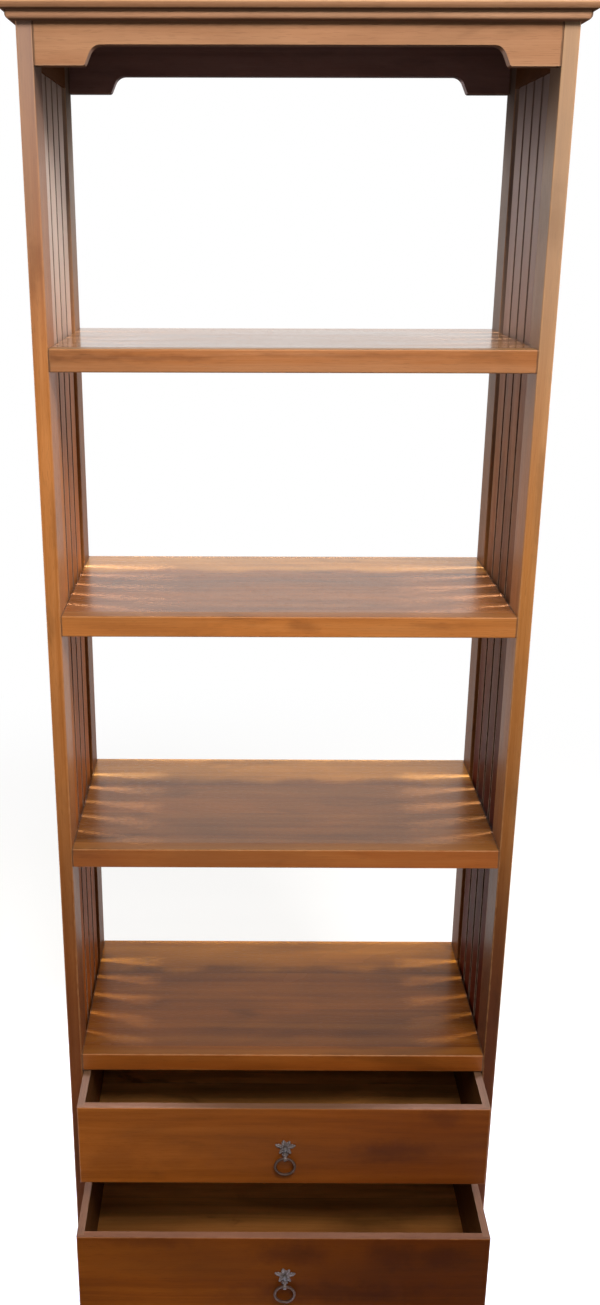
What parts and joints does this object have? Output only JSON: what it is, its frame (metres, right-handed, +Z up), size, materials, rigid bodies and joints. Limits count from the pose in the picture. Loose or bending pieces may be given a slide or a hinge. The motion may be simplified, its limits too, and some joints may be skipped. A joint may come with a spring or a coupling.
{
  "type": "bookcase with bottom drawers",
  "caption": "Tall open wooden bookcase with slatted sides, a moulded cornice, fixed shelves and inset drawers with ring pulls below",
  "frame": {"origin": "on the floor, below the middle of the bounding box of the bookcase as stored, with its drawers pulled out; the middle of its four feet is 79.6 mm behind it, along +Y", "axes": "+Z up, the open front and the drawers face -Y, left and right sides at -X and +X"},
  "size_m": [0.706, 0.4842, 1.9],
  "materials": {
    "stile_wood": "satin varnish, upright grain",
    "slat_wood": "satin varnish, upright grain",
    "cornice_wood": "satin varnish, grain along the length",
    "shelf_wood": "satin varnish, grain along the length",
    "shelf_edge_wood": "satin varnish, grain along the length",
    "drawer_front_wood": "satin varnish, grain along the length",
    "drawer_box_wood": "thin stain, dark inside",
    "case_wood": "thin dark stain",
    "dowel_wood": "bare",
    "pull_iron": "dark aged casting",
    "bolt_iron": "dark aged",
    "fastener_steel": "dull zinc"
  },
  "bodies": {
    "carcass": {"back_apron": "cornice_wood", "bottom_front_rail": "shelf_edge_wood", "cornice_front": "cornice_wood", "cornice_left": "cornice_wood", "cornice_right": "cornice_wood", "drawer_back_panel": "case_wood", "drawer_divider_rail": "shelf_edge_wood", "drawer_stops": "case_wood", "frame_dowels": "dowel_wood", "front_apron": "cornice_wood", "left_back_stile": "stile_wood", "left_bottom_rail": "stile_wood", "left_front_stile": "stile_wood", "left_kicker": "case_wood", "left_lower_runner": "case_wood", "left_slat_1": "slat_wood", "left_slat_2": "slat_wood", "left_slat_3": "slat_wood", "left_slat_4": "slat_wood", "left_top_rail": "stile_wood", "left_upper_runner": "case_wood", "right_back_stile": "stile_wood", "right_bottom_rail": "stile_wood", "right_front_stile": "stile_wood", "right_kicker": "case_wood", "right_lower_runner": "case_wood", "right_slat_1": "slat_wood", "right_slat_2": "slat_wood", "right_slat_3": "slat_wood", "right_slat_4": "slat_wood", "right_top_rail": "stile_wood", "right_upper_runner": "case_wood", "runner_screws": "fastener_steel", "shelf_1_board": "shelf_wood", "shelf_1_front_rail": "shelf_edge_wood", "shelf_2_board": "shelf_wood", "shelf_2_front_rail": "shelf_edge_wood", "shelf_3_board": "shelf_wood", "shelf_3_front_rail": "shelf_edge_wood", "shelf_4_board": "shelf_wood", "shelf_4_front_rail": "shelf_edge_wood", "top_board": "cornice_wood"},
    "upper_drawer": {"upper_drawer_back": "drawer_box_wood", "upper_drawer_bottom": "drawer_box_wood", "upper_drawer_front": "drawer_front_wood", "upper_drawer_left_side": "drawer_box_wood", "upper_drawer_right_side": "drawer_box_wood", "upper_pull_bolt": "bolt_iron", "upper_pull_nut": "fastener_steel", "upper_pull_plate": "pull_iron"},
    "lower_drawer": {"lower_drawer_back": "drawer_box_wood", "lower_drawer_bottom": "drawer_box_wood", "lower_drawer_front": "drawer_front_wood", "lower_drawer_left_side": "drawer_box_wood", "lower_drawer_right_side": "drawer_box_wood", "lower_pull_bolt": "bolt_iron", "lower_pull_nut": "fastener_steel", "lower_pull_plate": "pull_iron"},
    "upper_ring": {"upper_pull_ring": "pull_iron"},
    "lower_ring": {"lower_pull_ring": "pull_iron"}
  },
  "joints": [
    {"name": "upper_drawer_slide", "type": "slide", "parent": "carcass", "child": "upper_drawer", "axis": [0, -1, 0], "range_m": [-0.085, 0.125]},
    {"name": "lower_drawer_slide", "type": "slide", "parent": "carcass", "child": "lower_drawer", "axis": [0, -1, 0], "range_m": [-0.15, 0.06]},
    {"name": "upper_ring_hinge", "type": "hinge", "parent": "upper_drawer", "child": "upper_ring", "pos_m": [0.003, -0.1725, 0.2988], "axis": [-1, 0, 0], "range_deg": [0, 170]},
    {"name": "lower_ring_hinge", "type": "hinge", "parent": "lower_drawer", "child": "lower_ring", "pos_m": [0.003, -0.2375, 0.1148], "axis": [-1, 0, 0], "range_deg": [0, 170]}
  ]
}
